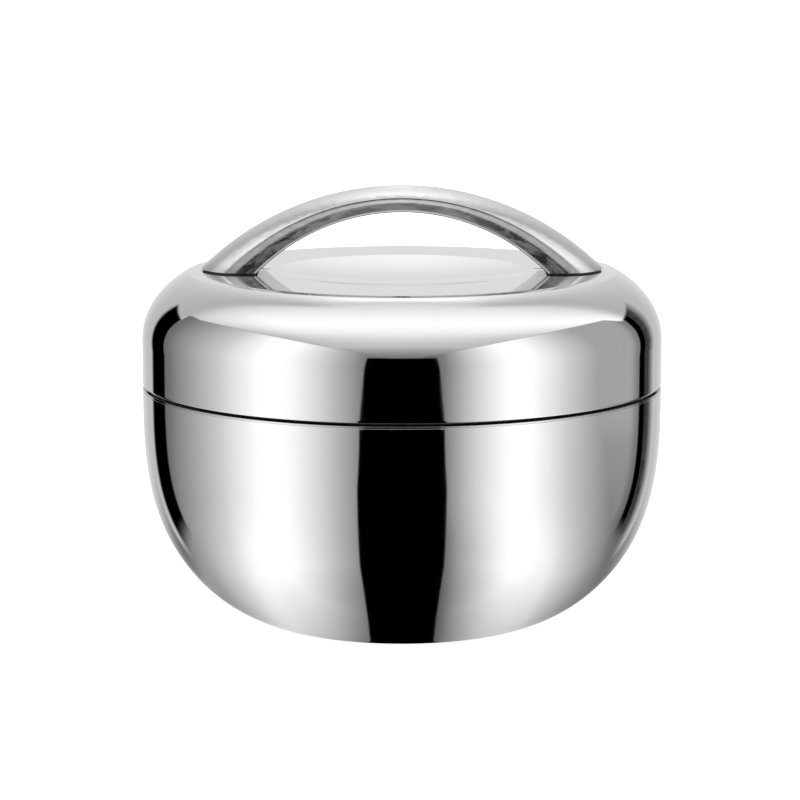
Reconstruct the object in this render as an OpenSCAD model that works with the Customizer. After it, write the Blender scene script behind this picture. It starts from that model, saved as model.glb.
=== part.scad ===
// Insulated bowl with a lift-off lid: double-walled polished steel, with an arched handle on the lid.
// Millimetres, +Z up. The origin is the centre of the base, on the table. The handle runs along X.

/* [Overall] */
// Widest diameter, where the bowl's rim and the lid's side are flush
body_d = 135; // [128:0.5:150]

/* [Bowl] */
// Height of the bowl's rim above the table
bowl_h = 61.3; // [56:0.1:75]
// Diameter of the line where the curved side meets the table
foot_d = 69.2; // [64:0.1:76]
// Thickness of the outer sheet of the bowl and of the lid
shell_t = 0.6; // [0.5:0.05:0.8]
// Thickness of the inner sheet of the bowl and of the lid
liner_t = 0.5; // [0.4:0.05:0.7]
// Radial space between the two sheets at the bowl's mouth
wall_space = 3; // [2:0.1:4.5]
// Height of the space between the two sheets under the bowl's floor
floor_space = 3.5; // [2.5:0.1:6]
// Step from the outer shell in to the edge of the liner's lip
lip_inset = 0.1; // [0:0.05:0.3]

/* [Base] */
// Width of the flat ring that rests on the table
rest_ring_w = 4.6; // [3:0.1:7]
// Height of the recess in the underside, up to the outer shell's floor
recess_h = 2.2; // [2:0.1:4]
// Thickness of the cover plate in the recess
cover_t = 0.6; // [0.4:0.05:0.8]
// Height of the cover plate's underside above the table
cover_lift = 0.7; // [0.4:0.05:0.9]
// Radial clearance of the cover plate in the recess
cover_clear = 0.2; // [0.1:0.05:0.4]
// Diameter of the evacuation hole in the outer shell's floor
evac_d = 3; // [2:0.1:4]
// Diameter of the glass seal's head over the evacuation hole
evac_seal_d = 6; // [5:0.1:8]
// Height of the glass seal's head
evac_seal_h = 0.7; // [0.5:0.05:0.8]
// Radial clearance of the glass seal's stem in its hole
evac_clear = 0.1; // [0.05:0.01:0.2]
// Diameter of the gas getter pellet
getter_d = 10; // [8:0.1:14]
// Thickness of the gas getter pellet
getter_t = 1.2; // [0.8:0.1:2]
// Distance of the gas getter pellet from the bowl's axis
getter_offset = 15; // [12:0.5:18]

/* [Lid] */
// Gap between the bowl's rim and the lid's lower edge
joint_gap = 0.7; // [0.65:0.05:1]
// Height of the lid, from its lower edge to its flat top
lid_h = 29.1; // [26:0.1:36]
// Height of the straight side above the lid's lower edge
lid_side_h = 11.2; // [8:0.1:14]
// Radial width of the rounded shoulder, from the side in to the ridge of the flat top
shoulder_w = 12.5; // [11:0.1:16]
// Width of the flat between the handle's feet and the shallow dish
dish_margin = 4.6; // [3:0.1:10]
// Depth of the shallow dish
dish_depth = 2.5; // [1:0.1:3]
// Width of the hem that is turned in at the lid's lower edge
hem_w = 2.9; // [2.5:0.1:3.5]
// Height of the space between the lid's two sheets, under the flat top
lid_space = 5.4; // [5.2:0.1:7]
// Radial step from the ridge in to the edge of the flat roof inside the lid
roof_inset = 9; // [6:0.1:14]
// Height of the straight part of the lid's liner above the lid's lower edge
neck_h = 8; // [6:0.1:10]
// Gap between the edge of the liner's flange and the outer sheet
flange_gap = 0.3; // [0.1:0.05:0.6]
// Gap between the foam disc and the steel above and beside it
foam_gap = 0.2; // [0.1:0.05:0.4]

/* [Collar and seal] */
// Depth that the collar reaches below the lid's lower edge
collar_depth = 7.1; // [6:0.1:9]
// Wall thickness of the collar
collar_t = 1.8; // [1.4:0.1:2.4]
// Height that the collar reaches up inside the lid's liner
collar_rise = 5; // [3:0.1:6]
// Height of the bead at the bottom of the collar that holds the seal
bead_h = 1; // [0.8:0.1:1.5]
// Width that the bead stands out from the collar
bead_w = 0.9; // [0.6:0.05:1]
// Thickness of the seal's band round the collar
seal_t = 1; // [0.8:0.05:1.2]
// Thickness of the seal's flange, which lies between the rim and the lid
seal_flange_t = 0.6; // [0.4:0.05:0.6]
// Width of the seal's flange beyond its band
seal_flange_w = 3; // [2.5:0.1:3.5]
// Height that each sealing rib stands out from the band
rib_h = 0.6; // [0.4:0.05:0.8]
// Width of each sealing rib at its root
rib_w = 1.2; // [0.8:0.1:1.6]
// Number of sealing ribs
rib_count = 2; // [1:1:2]
// Radial clearance of the sealing ribs in the bowl's mouth
seal_clear = 0.3; // [0.25:0.05:0.4]
// Clearance between the collar and the pieces that it fits in and carries
collar_clear = 0.1; // [0.05:0.05:0.2]

/* [Handle] */
// Distance of the handle's tips from the ridge of the lid's flat top
tip_inset = 2.85; // [2:0.05:6]
// Length of each foot along the handle
foot_l = 15.05; // [13:0.05:17]
// Height of the handle's crown above the lid's flat top
handle_h = 21.9; // [20:0.1:30]
// Height of the finger gap above the lid's flat top
grip_h = 15.6; // [12:0.1:17]
// Width of the handle at its crown
handle_w = 17.5; // [14:0.1:22]
// Width of the handle at its feet
handle_foot_w = 24; // [22.5:0.1:28]
// Radius of the rounding across the handle's outer face
crown_r = 17; // [15:0.5:30]
// Thickness of the pad between each foot and the lid
pad_t = 0.4; // [0.3:0.05:0.8]
// Step from the foot's edge in to the pad's edge
pad_inset = 0.5; // [0.3:0.05:1]

/* [Fasteners] */
// Distance of each screw from the inner edge of its foot
screw_inset = 6; // [5.5:0.1:7]
// Thread diameter of the screws
screw_d = 4; // [3:0.5:4]
// Length of the screws under the head
screw_l = 6; // [5.5:0.1:6.5]
// Diameter of the screw heads
head_d = 7.5; // [6.5:0.1:8]
// Height of the screw heads
head_h = 2.2; // [1.8:0.1:2.4]
// Width of the slots of the cross recess
cross_w = 1; // [0.6:0.05:1.2]
// Depth of the cross recess
cross_depth = 1.2; // [0.8:0.1:1.5]
// Outer diameter of the washers
washer_d = 9; // [8.5:0.1:10]
// Thickness of the washers
washer_t = 0.5; // [0.4:0.05:0.6]
// Length of the backing plates along the handle
backing_l = 12; // [10:0.1:12.5]
// Width of the backing plates across the handle
backing_w = 20; // [16:0.1:22]
// Thickness of the backing plates
backing_t = 1; // [0.8:0.1:1.2]
// Radius of the backing plates' corners
backing_r = 2; // [1:0.1:4]
// Clearance round each screw in the pieces that it passes through
screw_clear = 0.2; // [0.1:0.05:0.3]
// Clearance round each screw in its tapped hole
thread_clear = 0.05; // [0.02:0.01:0.1]
// Depth left in the tapped hole beyond the screw's end
tip_space = 0.4; // [0.2:0.1:0.8]

/* [Hidden] */

// Segments of each curved outline, and facets of the preview
curve_steps = 24;
round_fn = 128;
small_fn = 48;

// Overrun of the cuts
over = 1;

// Angle that each side and shoulder curve runs through
quarter_turn = 90;

// Shape of the bowl's side: powers of the sine across and of the cosine up
side_r_power = 1.351;
side_z_power = 0.673;
// Shape of the lid's shoulder: powers of the cosine across and of the sine up
shoulder_r_power = 1.667;
shoulder_z_power = 0.922;

// Left and right along X
LEFT = -1;
RIGHT = 1;

// Bowl
body_r = body_d / 2;
foot_r = foot_d / 2;
recess_r = foot_r - rest_ring_w;
shell_floor_z = recess_h + shell_t;
liner_under_z = shell_floor_z + floor_space;
liner_floor_z = liner_under_z + liner_t;
liner_foot_r = foot_r - wall_space;
mouth_r = body_r - shell_t - wall_space - liner_t;
shell_rim_z = bowl_h - liner_t;
lip_r = body_r - lip_inset;
evac_r = evac_d / 2;
cover_r = recess_r - cover_clear;

// Lid
lid_z = bowl_h + joint_gap;
lid_top_z = lid_z + lid_h;
shoulder_z = lid_z + lid_side_h;
ridge_r = body_r - shoulder_w;
hem_r = body_r - hem_w;
hem_top_z = lid_z + shell_t;

// Collar and seal
rib_r = mouth_r - seal_clear;
band_r = rib_r - rib_h;
band_in_r = band_r - seal_t;
collar_r = band_in_r - collar_clear;
collar_in_r = collar_r - collar_t;
collar_z = lid_z - collar_depth;
bead_top_z = collar_z + bead_h;
collar_flange_r = hem_r - collar_clear;
seal_flange_z = lid_z - seal_flange_t;
band_z = bead_top_z + collar_clear;

// Lid liner
neck_r = collar_r + collar_clear;
neck_z = lid_z + neck_h;
roof_r = ridge_r - roof_inset;
roof_z = lid_top_z - shell_t - lid_space - liner_t;
liner_flange_r = body_r - shell_t - flange_gap;

// Handle: the arch and the finger gap are both arcs of a circle
handle_l = 2 * (ridge_r - tip_inset);
grip_l = handle_l - 2 * foot_l;
foot_z = lid_top_z + pad_t;
crown_z = lid_top_z + handle_h;
arch_r = arc_r(handle_l / 2, handle_h - pad_t);
arch_z = crown_z - arch_r;
grip_r = arc_r(grip_l / 2, grip_h - pad_t);
grip_z = lid_top_z + grip_h - grip_r;
foot_mid_x = (handle_l + grip_l) / 4;
waist_r = arc_r(foot_mid_x, (handle_foot_w - handle_w) / 2);

// Plan of each foot: an arc through its tip and through its two outer corners
crown_drop = crown_r - sqrt(pow(crown_r, 2) - pow(handle_foot_w / 2, 2));
foot_corner_x = sqrt(pow(arch_r - crown_drop, 2) - pow(foot_z - arch_z, 2));
tip_r = arc_r(handle_foot_w / 2, handle_l / 2 - foot_corner_x);

// The dish lies between the feet
dish_r = grip_l / 2 - dish_margin;

// Fasteners, stacked downwards from the lid's top sheet
screw_x = grip_l / 2 + screw_inset;
backing_z = lid_top_z - shell_t - backing_t;
washer_z = backing_z - washer_t;
tap_depth = washer_z + screw_l + tip_space - foot_z;
foam_r = screw_x - backing_l / 2 - foam_gap;

// Radius of the arc with a given half chord and height
function arc_r(half_chord, rise) = (pow(half_chord, 2) + pow(rise, 2)) / (2 * rise);

// Side of a bowl, from where it leaves the floor to where it stands upright at the rim
function side_curve(low_r, low_z, top_r, top_z) = [
    for (i = [0 : curve_steps])
        let (t = quarter_turn * i / curve_steps)
        [low_r + (top_r - low_r) * pow(sin(t), side_r_power),
         low_z + (top_z - low_z) * (1 - pow(cos(t), side_z_power))]
];

// Shoulder of a dome, from its upright side to its flat top
function shoulder_curve(side_r, low_z, flat_r, flat_z) = [
    for (i = [0 : curve_steps])
        let (t = quarter_turn * i / curve_steps)
        [flat_r + (side_r - flat_r) * pow(cos(t), shoulder_r_power),
         low_z + (flat_z - low_z) * pow(sin(t), shoulder_z_power)]
];

// Dish from its edge to the axis, with its edge at height z
function dish_curve(z) = [
    for (i = [0 : curve_steps])
        let (share = 1 - i / curve_steps)
        [dish_r * share, z - dish_depth * (1 - pow(share, 2))]
];

// A curve moved sideways by d, to the left of its own direction
function moved(points, d) = [
    for (i = [0 : len(points) - 1])
        let (step = points[min(i + 1, len(points) - 1)] - points[max(i - 1, 0)])
        points[i] + d / norm(step) * [-step[1], step[0]]
];

function reversed(points) = [for (i = [len(points) - 1 : -1 : 0]) points[i]];

// A curve without its last point, or without both its ends
function without_last(points) = [for (i = [0 : len(points) - 2]) points[i]];
function middle(points) = [for (i = [1 : len(points) - 2]) points[i]];

module turned(points) {
    rotate_extrude($fn = round_fn)
        polygon(points);
}

// Deep-drawn outer sheet, from the rim down to the rest ring and the recessed floor
module bowl_outer_shell() {
    outside = side_curve(foot_r, 0, body_r, shell_rim_z);
    inside = without_last(moved(outside, shell_t));
    color("#c8cbce")
        turned(concat(
            [[recess_r, 0]],
            outside,
            [[body_r - shell_t, shell_rim_z]],
            reversed(inside),
            [[recess_r + shell_t, shell_t],
             [recess_r + shell_t, shell_floor_z],
             [evac_r, shell_floor_z],
             [evac_r, recess_h],
             [recess_r, recess_h]]
        ));
}

// Inner sheet that holds the food, with a flat lip that closes the top of the double wall
module bowl_inner_liner() {
    inside = side_curve(liner_foot_r, liner_floor_z, mouth_r, bowl_h);
    outside = without_last(moved(inside, -liner_t));
    color("#b9bdc1")
        turned(concat(
            [[0, liner_floor_z]],
            inside,
            [[lip_r, bowl_h],
             [lip_r, shell_rim_z],
             [mouth_r + liner_t, shell_rim_z]],
            reversed(outside),
            [[0, liner_under_z]]
        ));
}

// Shallow pan pressed into the recess of the underside
module bowl_base_cover() {
    color("#a9adb2")
        turned([
            [0, cover_lift],
            [cover_r, cover_lift],
            [cover_r, recess_h],
            [cover_r - cover_t, recess_h],
            [cover_r - cover_t, cover_lift + cover_t],
            [0, cover_lift + cover_t]
        ]);
}

// Bead of glass solder that closes the evacuation hole
module bowl_vacuum_seal() {
    color("#5a5248") {
        translate([0, 0, recess_h - evac_seal_h])
            cylinder(d = evac_seal_d, h = evac_seal_h, $fn = small_fn);
        translate([0, 0, recess_h - evac_seal_h])
            cylinder(r = evac_r - evac_clear, h = evac_seal_h + shell_t, $fn = small_fn);
    }
}

// Pellet that takes up stray gas inside the double wall
module bowl_getter() {
    color("#7d7f82")
        translate([getter_offset, 0, shell_floor_z])
            cylinder(d = getter_d, h = getter_t, $fn = small_fn);
}

// Outer sheet of the lid: turned-in hem, upright side, shoulder, flat top and shallow dish
module lid_outer_shell() {
    shoulder = shoulder_curve(body_r, shoulder_z, ridge_r, lid_top_z);
    shoulder_inside = without_last(moved(shoulder, shell_t));
    color("#d2d5d8")
        difference() {
            turned(concat(
                [[hem_r, lid_z], [body_r, lid_z]],
                shoulder,
                dish_curve(lid_top_z),
                reversed(dish_curve(lid_top_z - shell_t)),
                [[ridge_r - shell_t, lid_top_z - shell_t]],
                reversed(shoulder_inside),
                [[body_r - shell_t, hem_top_z], [hem_r, hem_top_z]]
            ));
            for (side = [LEFT, RIGHT])
                screw_hole(side, lid_top_z - shell_t, shell_t);
        }
}

// Inner sheet of the lid, whose flange lies on the hem
module lid_inner_liner() {
    shoulder = shoulder_curve(neck_r, neck_z, roof_r, roof_z);
    shoulder_outside = middle(moved(shoulder, -liner_t));
    color("#b3b7bb")
        turned(concat(
            [[neck_r, hem_top_z]],
            shoulder,
            [[0, roof_z], [0, roof_z + liner_t], [roof_r, roof_z + liner_t]],
            reversed(shoulder_outside),
            [[neck_r + liner_t, neck_z],
             [neck_r + liner_t, hem_top_z + liner_t],
             [liner_flange_r, hem_top_z + liner_t],
             [liner_flange_r, hem_top_z]]
        ));
}

// Disc of foam between the lid's two sheets, hollowed to clear the dish
module lid_foam_disc() {
    top_z = lid_top_z - shell_t - foam_gap;
    color("#e8e2d0")
        turned(concat(
            [[0, roof_z + liner_t], [foam_r, roof_z + liner_t], [foam_r, top_z]],
            dish_curve(top_z)
        ));
}

// Plastic ring that plugs into the bowl's mouth and carries the seal
module lid_collar() {
    color("#e9eaea")
        turned([
            [collar_in_r, collar_z],
            [collar_r + bead_w, collar_z],
            [collar_r + bead_w, bead_top_z],
            [collar_r, bead_top_z],
            [collar_r, lid_z],
            [collar_flange_r, lid_z],
            [collar_flange_r, hem_top_z],
            [collar_r, hem_top_z],
            [collar_r, hem_top_z + collar_rise],
            [collar_in_r, hem_top_z + collar_rise]
        ]);
}

// Soft ring round the collar: a flange on the rim, and ribs in the mouth
module lid_seal_ring() {
    band_h = seal_flange_z - band_z;
    rib_step = band_h / (rib_count + 1);
    color("#27282b")
        turned(concat(
            [[band_in_r, band_z], [band_r, band_z]],
            [for (i = [1 : rib_count], step = [-1, 0, 1])
                [band_r + (step == 0 ? rib_h : 0), band_z + i * rib_step + step * rib_w / 2]],
            [[band_r, seal_flange_z],
             [band_r + seal_flange_w, seal_flange_z],
             [band_r + seal_flange_w, lid_z],
             [band_in_r, lid_z]]
        ));
}

// Waisted outline of the handle, seen from above
module handle_plan() {
    difference() {
        square([handle_l + over, handle_foot_w], center = true);
        for (side = [LEFT, RIGHT])
            translate([0, side * (handle_w / 2 + waist_r)])
                circle(r = waist_r, $fn = round_fn);
    }
}

// Half section of the disc that the arch is cut from, rounded across its rim
module crown_section() {
    translate([arch_r - crown_r, 0])
        circle(r = crown_r, $fn = round_fn);
    translate([0, -crown_r])
        square([arch_r - crown_r, 2 * crown_r]);
}

// Arched solid handle with two tapped holes in its flat feet
module handle() {
    color("#b6b8ba")
        difference() {
            intersection() {
                translate([0, 0, arch_z])
                    rotate([quarter_turn, 0, 0])
                        rotate_extrude($fn = round_fn)
                            crown_section();
                translate([0, 0, foot_z])
                    linear_extrude(height = handle_h)
                        handle_plan();
            }
            translate([0, 0, grip_z])
                rotate([quarter_turn, 0, 0])
                    cylinder(r = grip_r, h = handle_foot_w + over, center = true, $fn = round_fn);
            for (side = [LEFT, RIGHT])
                translate([side * screw_x, 0, foot_z - over])
                    cylinder(r = screw_d / 2 + thread_clear, h = tap_depth + over, $fn = small_fn);
        }
}

// Outline of a pad, a step inside the outline of the foot above it
module pad_plan() {
    intersection() {
        translate([handle_l / 2 - tip_r, 0])
            circle(r = tip_r - pad_inset, $fn = round_fn);
        translate([grip_l / 2 + pad_inset, pad_inset - handle_foot_w / 2])
            square([handle_l, handle_foot_w - 2 * pad_inset]);
    }
}

// Thin dark pad that seals the screw hole under one foot
module handle_pad(side) {
    color("#1d1e20")
        difference() {
            translate([0, 0, lid_top_z])
                rotate([0, 0, side == LEFT ? 2 * quarter_turn : 0])
                    linear_extrude(height = pad_t)
                        pad_plan();
            screw_hole(side, lid_top_z, pad_t);
        }
}

// Plate that spreads the load of one screw under the lid's top sheet
module backing_plate(side) {
    color("#9fa3a8")
        difference() {
            translate([side * screw_x, 0, backing_z])
                linear_extrude(height = backing_t)
                    rounded_plan(backing_l, backing_w, backing_r);
            screw_hole(side, backing_z, backing_t);
        }
}

// Rectangle with round corners, from plain circles and squares
module rounded_plan(l, w, r) {
    square([l - 2 * r, w], center = true);
    square([l, w - 2 * r], center = true);
    for (x = [-1, 1], y = [-1, 1])
        translate([x * (l / 2 - r), y * (w / 2 - r)])
            circle(r = r, $fn = small_fn);
}

module handle_washer(side) {
    color("#c2c5c8")
        difference() {
            translate([side * screw_x, 0, washer_z])
                cylinder(d = washer_d, h = washer_t, $fn = small_fn);
            screw_hole(side, washer_z, washer_t);
        }
}

// Pan-head screw that comes up through the lid into one foot
module handle_screw(side) {
    color("#8f9397")
        translate([side * screw_x, 0, washer_z])
            difference() {
                union() {
                    translate([0, 0, -head_h])
                        cylinder(d = head_d, h = head_h, $fn = small_fn);
                    cylinder(d = screw_d, h = screw_l, $fn = small_fn);
                }
                for (turn = [0, quarter_turn])
                    rotate([0, 0, turn])
                        translate([0, 0, -head_h])
                            cube([screw_d, cross_w, 2 * cross_depth], center = true);
            }
}

// Cut for one screw through a sheet that starts at height z and is t thick
module screw_hole(side, z, t) {
    translate([side * screw_x, 0, z - over])
        cylinder(r = screw_d / 2 + screw_clear, h = t + 2 * over, $fn = small_fn);
}

bowl_outer_shell();
bowl_inner_liner();
bowl_base_cover();
bowl_vacuum_seal();
bowl_getter();
lid_outer_shell();
lid_inner_liner();
lid_foam_disc();
lid_collar();
lid_seal_ring();
handle();
handle_pad(LEFT);  // handle_pad_left
handle_pad(RIGHT);  // handle_pad_right
backing_plate(LEFT);  // backing_plate_left
backing_plate(RIGHT);  // backing_plate_right
handle_washer(LEFT);  // handle_washer_left
handle_washer(RIGHT);  // handle_washer_right
handle_screw(LEFT);  // handle_screw_left
handle_screw(RIGHT);  // handle_screw_right
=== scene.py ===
# Insulated steel bowl with a lift-off lid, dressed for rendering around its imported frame.
# Metres, +Z up. The origin is the centre of the base, on the table. The handle runs along X.
import math

import bmesh
import bpy
from bpy.props import FloatProperty, FloatVectorProperty, PointerProperty
from mathutils import Matrix, Vector


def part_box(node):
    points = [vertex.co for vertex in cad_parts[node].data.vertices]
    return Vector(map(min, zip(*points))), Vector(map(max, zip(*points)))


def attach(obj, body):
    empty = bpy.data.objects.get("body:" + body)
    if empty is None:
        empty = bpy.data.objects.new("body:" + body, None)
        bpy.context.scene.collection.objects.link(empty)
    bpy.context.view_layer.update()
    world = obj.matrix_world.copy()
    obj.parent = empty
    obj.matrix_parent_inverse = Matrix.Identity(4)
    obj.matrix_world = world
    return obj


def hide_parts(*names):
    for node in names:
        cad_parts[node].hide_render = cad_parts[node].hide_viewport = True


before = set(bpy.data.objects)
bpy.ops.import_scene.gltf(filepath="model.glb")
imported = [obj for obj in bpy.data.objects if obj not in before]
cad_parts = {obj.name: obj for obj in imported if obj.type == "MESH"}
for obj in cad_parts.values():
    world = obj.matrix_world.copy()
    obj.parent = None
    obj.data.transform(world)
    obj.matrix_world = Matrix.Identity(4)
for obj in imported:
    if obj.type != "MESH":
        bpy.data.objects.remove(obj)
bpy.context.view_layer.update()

bl_info = {
    "name": "Insulated bowl",
    "version": (1, 0, 0),
    "blender": (4, 5, 0),
    "location": "View3D > Sidebar > Bowl",
    "description": "Builds the visible pieces of an insulated bowl with a lid round its CAD frame",
    "category": "Object",
}

MM = 0.001
SIDES = ((-1, "left"), (1, "right"))

# Turned pieces: segments round the axis, and steps along a curve and round an eased corner
ROUND_STEPS = 288
INNER_ROUND_STEPS = 144
DRILL_STEPS = 64
CURVE_STEPS = 200
DISH_STEPS = 60
CORNER_STEPS = 6
# Straight stretches longer than this get a pair of points near their ends, so they shade flat
LONG_STRETCH = 1.2 * MM
END_HOLD = 0.2 * MM
# A point nearer to the axis than this lies on it
AXIS_REACH = 0.001 * MM
# Edges sharper than this aren't shaded smoothly
SHARP_TURN = math.radians(38)

# Steps of the handle: half its length, and across the crown, bevel, side and lower edge
ARCH_STEPS = 120
CROWN_STEPS = 16
BEVEL_STEPS = 4
SIDE_STEPS = 5
UNDER_STEPS = 6
# Steps round a pad's tip, round a screw and along its thread
TIP_STEPS = 32
THREAD_STEPS = 40
THREAD_ROWS = 72
THREAD_DEPTH = 0.4 * MM

# Side softbox: light at a distance from the dark gap, in half widths of that gap
SIDE_LIGHT = (
    (0.7, 0.2), (1.2, 0.5), (1.9, 0.95), (2.7, 1.5), (3.5, 1.75), (4.3, 1.45), (5.6, 0.9), (7.4, 0.55),
    (9.1, 0.36), (10.4, 0.2), (12.0, 0.22), (16.0, 0.55),
)
LIGHT_REACH = 16
BRIGHTEST = 2.0
WHITE = (1, 1, 1, 1)


def low(node):
    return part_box(node)[0]


def high(node):
    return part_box(node)[1]


def extent(node):
    """How far a CAD piece reaches to the right, and its lowest and highest point."""
    return high(node).x, low(node).z, high(node).z


def middle_x(node):
    return (low(node).x + high(node).x) / 2


def number(name, description, default, **options):
    return FloatProperty(name=name, description=description, default=default, **options)


def length(name, description, default):
    """Property for a real length in metres."""
    return number(name, description, default, subtype="DISTANCE", unit="LENGTH", precision=5)


def angle(name, description, degrees):
    """Property for an angle."""
    return number(name, description, math.radians(degrees), subtype="ANGLE", unit="ROTATION")


def power(name, description, default):
    """Property for the power that shapes a curve."""
    return number(name, description, default, min=0.2, max=4)


def colour(name, description, default):
    """Property for a colour, in linear light."""
    return FloatVectorProperty(
        name=name, description=description, default=default, subtype="COLOR", size=3, min=0, max=1
    )


class BowlSizes(bpy.types.PropertyGroup):
    """Sizes of the bowl's two sheets and base."""

    body_r: length("Body radius", "Radius at the joint", high("bowl_outer_shell").x)
    rim_z: length("Rim height", "Top of the liner's lip", high("bowl_inner_liner").z)
    foot_r: length("Foot radius", "Where the side meets the table", 34.6 * MM)
    ring_w: length("Rest ring", "Width of the flat ring under the bowl", 4.6 * MM)
    recess_h: length("Recess height", "Depth of the hollow in the underside", 2.2 * MM)
    shell_t: length("Shell thickness", "Thickness of the outer sheets", 0.6 * MM)
    liner_t: length("Liner thickness", "Thickness of the inner sheets", 0.5 * MM)
    wall_space: length("Wall space", "Space between the sheets at the side", 3 * MM)
    floor_space: length("Floor space", "Space between the sheets under the floor", 3.5 * MM)
    lip_inset: length("Lip inset", "Step from the outer sheet to the lip", 0.1 * MM)
    evac_r: length("Evacuation hole", "Radius of the hole under the bead", 1.5 * MM)
    across_power: power("Across", "Shape of the side, across", 1.351)
    up_power: power("Up", "Shape of the side, upwards", 0.673)


class LidSizes(bpy.types.PropertyGroup):
    """Sizes of the lid's sheets, collar and seal."""

    lower_z: length("Lower edge", "Height of the lid's lower edge", low("lid_outer_shell").z)
    top_z: length("Flat top", "Height of the lid's flat top", high("lid_outer_shell").z)
    side_h: length("Side height", "Upright side above the lower edge", 11.2 * MM)
    shoulder_w: length("Shoulder", "Width of the rounded shoulder", 12.5 * MM)
    ridge_reach: length("Ridge rounding", "Width of the rounding at the flat top", 0.9 * MM)
    bevel_w: length("Ridge bevel", "Width of the faint bevel round the flat top", 2.3 * MM)
    bevel_tilt: angle("Bevel tilt", "Slope of that bevel", 4)
    hem_w: length("Hem", "Width of the turned-in hem", 2.9 * MM)
    hem_round: length("Hem rounding", "Outer rounding of the folded hem", 0.55 * MM)
    dish_r: length("Dish radius", "Radius of the shallow dish", 32.5 * MM)
    dish_depth: length("Dish depth", "Depth of the shallow dish", 2.5 * MM)
    across_power: power("Across", "Shape of the shoulder, across", 1.667)
    up_power: power("Up", "Shape of the shoulder, upwards", 0.922)
    roof_inset: length("Roof inset", "Step from the ridge to the inner roof", 9 * MM)
    neck_inset: length("Neck inset", "Step from the side to the inner neck", 6 * MM)
    neck_h: length("Neck height", "Straight part of the inner sheet", 8 * MM)
    collar_t: length("Collar thickness", "Wall of the collar", 1.8 * MM)
    collar_clear: length("Collar clearance", "Clearance round the collar", 0.1 * MM)
    bead_w: length("Bead width", "How far the collar's bead stands out", 0.9 * MM)
    bead_h: length("Bead height", "Height of the collar's bead", 1 * MM)
    seal_t: length("Seal band", "Thickness of the seal's band", 1 * MM)
    rib_clear: length("Rib clearance", "Clearance of the ribs in the mouth", 0.3 * MM)
    rib_h: length("Rib height", "How far each sealing rib stands out", 0.6 * MM)
    rib_w: length("Rib width", "Width of each sealing rib", 1.2 * MM)


class HandleSizes(bpy.types.PropertyGroup):
    """Sizes of the arched handle and what fastens it."""

    tip_x: length("Tip", "Distance of each tip from the middle", high("handle").x)
    foot_l: length("Foot length", "Length of each foot", 15.05 * MM)
    foot_half_w: length("Foot half width", "Half the width of the feet", high("handle").y)
    half_w: length("Half width", "Half the width at the crown", 8.75 * MM)
    foot_z: length("Foot height", "Height of the feet's underside", low("handle").z)
    crown_z: length("Crown height", "Top of the handle", high("handle").z)
    grip_z: length("Grip height", "Top of the finger gap", high("lid_outer_shell").z + 15.6 * MM)
    crown_r: length("Crown rounding", "Rounding across the crown, at the feet", 17 * MM)
    crown_mid_r: length("Middle rounding", "Rounding across the crown, at the middle", 14.5 * MM)
    crease: length("Crease", "Step beside the crown, at the middle", 0.32 * MM)
    bevel_w: length("Bevel width", "How far the bevel reaches in from the side", 0.55 * MM)
    bevel_h: length("Bevel height", "Height of the bevel, at the middle", 0.95 * MM)
    under_r: length("Lower rounding", "Rounding of the lower edges", 0.9 * MM)
    pad_tip_l: length("Pad tip", "Length of the rounded tip of each pad", 6.6 * MM)
    screw_inset: length("Screw inset", "From each foot's inner edge to its screw", 6 * MM)
    thread_r: length("Thread radius", "Outer radius of the thread", 2 * MM)
    thread_pitch: length("Thread pitch", "Pitch of the thread", 0.7 * MM)


class Finishes(bpy.types.PropertyGroup):
    """Colours of the finishes, in linear light."""

    mirror: colour("Mirror steel", "Polished sheet", (0.64, 0.64, 0.64))
    satin: colour("Satin steel", "Spun inner sheet", (0.56, 0.56, 0.555))
    cast: colour("Cast steel", "Polished casting", (0.62, 0.615, 0.61))
    fastener: colour("Fastener steel", "Screws, washers and plates", (0.5, 0.5, 0.51))
    plastic: colour("Collar", "Moulded collar", (0.8, 0.81, 0.81))
    seal: colour("Seal", "Soft seal ring", (0.02, 0.02, 0.022))
    pad: colour("Pads", "Pads under the handle", (0.012, 0.012, 0.014))
    foam: colour("Foam", "Insulating disc", (0.78, 0.73, 0.6))
    glass: colour("Glass bead", "Solder glass", (0.11, 0.09, 0.07))
    getter: colour("Getter", "Pressed metal powder", (0.14, 0.14, 0.145))
    floor: colour("Floor", "Pale floor", (0.9, 0.9, 0.9))


class StudioSettings(bpy.types.PropertyGroup):
    """Camera and lights."""

    distance: length("Distance", "Camera to the object's axis", 0.8)
    aim_z: length("Aim height", "Height on the axis that the camera looks at", 56.7 * MM)
    pitch: angle("Pitch", "How far the camera looks down", 9.45)
    lens: number("Lens", "Focal length in millimetres", 137.7, min=20, max=400)
    shift_x: number("Shift", "Sideways shift of the picture", -0.0025)
    floor_light: number("Floor light", "Power of the overhead light", 9, min=0)


def settings():
    """The scene's property groups: bowl, lid, handle, finishes and studio."""
    return [getattr(bpy.context.scene, name) for name in GROUPS]


# Outlines and meshes


def quarter(steps):
    """Angles of a quarter turn, in even steps."""
    return [math.pi / 2 * i / steps for i in range(steps + 1)]


def rounded(start, end, sizes, upright):
    """Rounded curve between two points of radius and height, which sets out upright or else level."""
    points = []
    for turn in quarter(CURVE_STEPS):
        sine, cosine = math.sin(turn), max(math.cos(turn), 0)
        shares = sine**sizes.across_power, 1 - cosine**sizes.up_power
        if upright:
            shares = 1 - cosine**sizes.across_power, sine**sizes.up_power
        points.append(tuple(a + (b - a) * share for a, b, share in zip(start, end, shares)))
    return points


def dish_curve(radius, depth, edge_z):
    """Shallow dish, from its edge to the axis."""
    shares = [1 - i / DISH_STEPS for i in range(DISH_STEPS + 1)]
    return [(radius * share, edge_z - depth * (1 - share**2)) for share in shares]


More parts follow.
